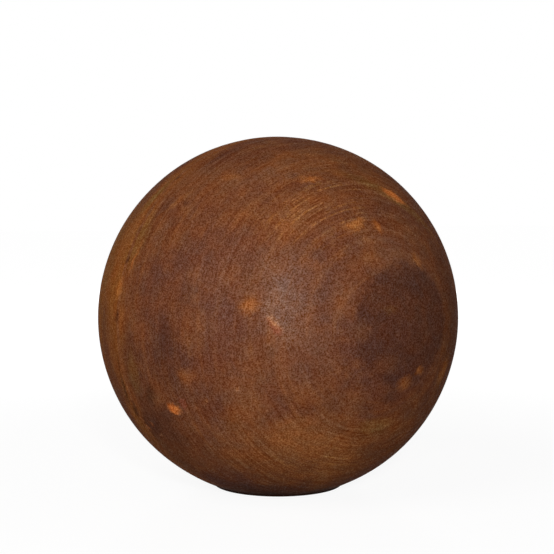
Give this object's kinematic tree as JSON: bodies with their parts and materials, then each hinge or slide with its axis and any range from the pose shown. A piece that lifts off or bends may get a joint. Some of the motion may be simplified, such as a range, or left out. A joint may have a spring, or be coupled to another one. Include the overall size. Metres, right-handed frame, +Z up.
{
  "type": "rusty metal garden sphere",
  "caption": "Hollow ball of bare rusted steel, spun as half shells and butt welded on an upright seam, standing on a short ring of tube; a free-standing garden ornament.",
  "frame": {"origin": "centre of the foot ring's resting face, on the surface that the ball stands on", "axes": "+Z up through the centre of the ball and the foot ring; -Y through the pole of the front half shell; the seam lies in the XZ plane"},
  "size_m": [0.3, 0.3, 0.2911],
  "materials": {
    "rusted_shell": "matte",
    "rusted_weld": "matte",
    "rusted_foot": "matte"
  },
  "bodies": {
    "root": {"front_half_shell": "rusted_shell", "back_half_shell": "rusted_shell", "seam_weld": "rusted_weld", "foot_ring": "rusted_foot", "foot_weld": "rusted_weld"}
  },
  "joints": []
}
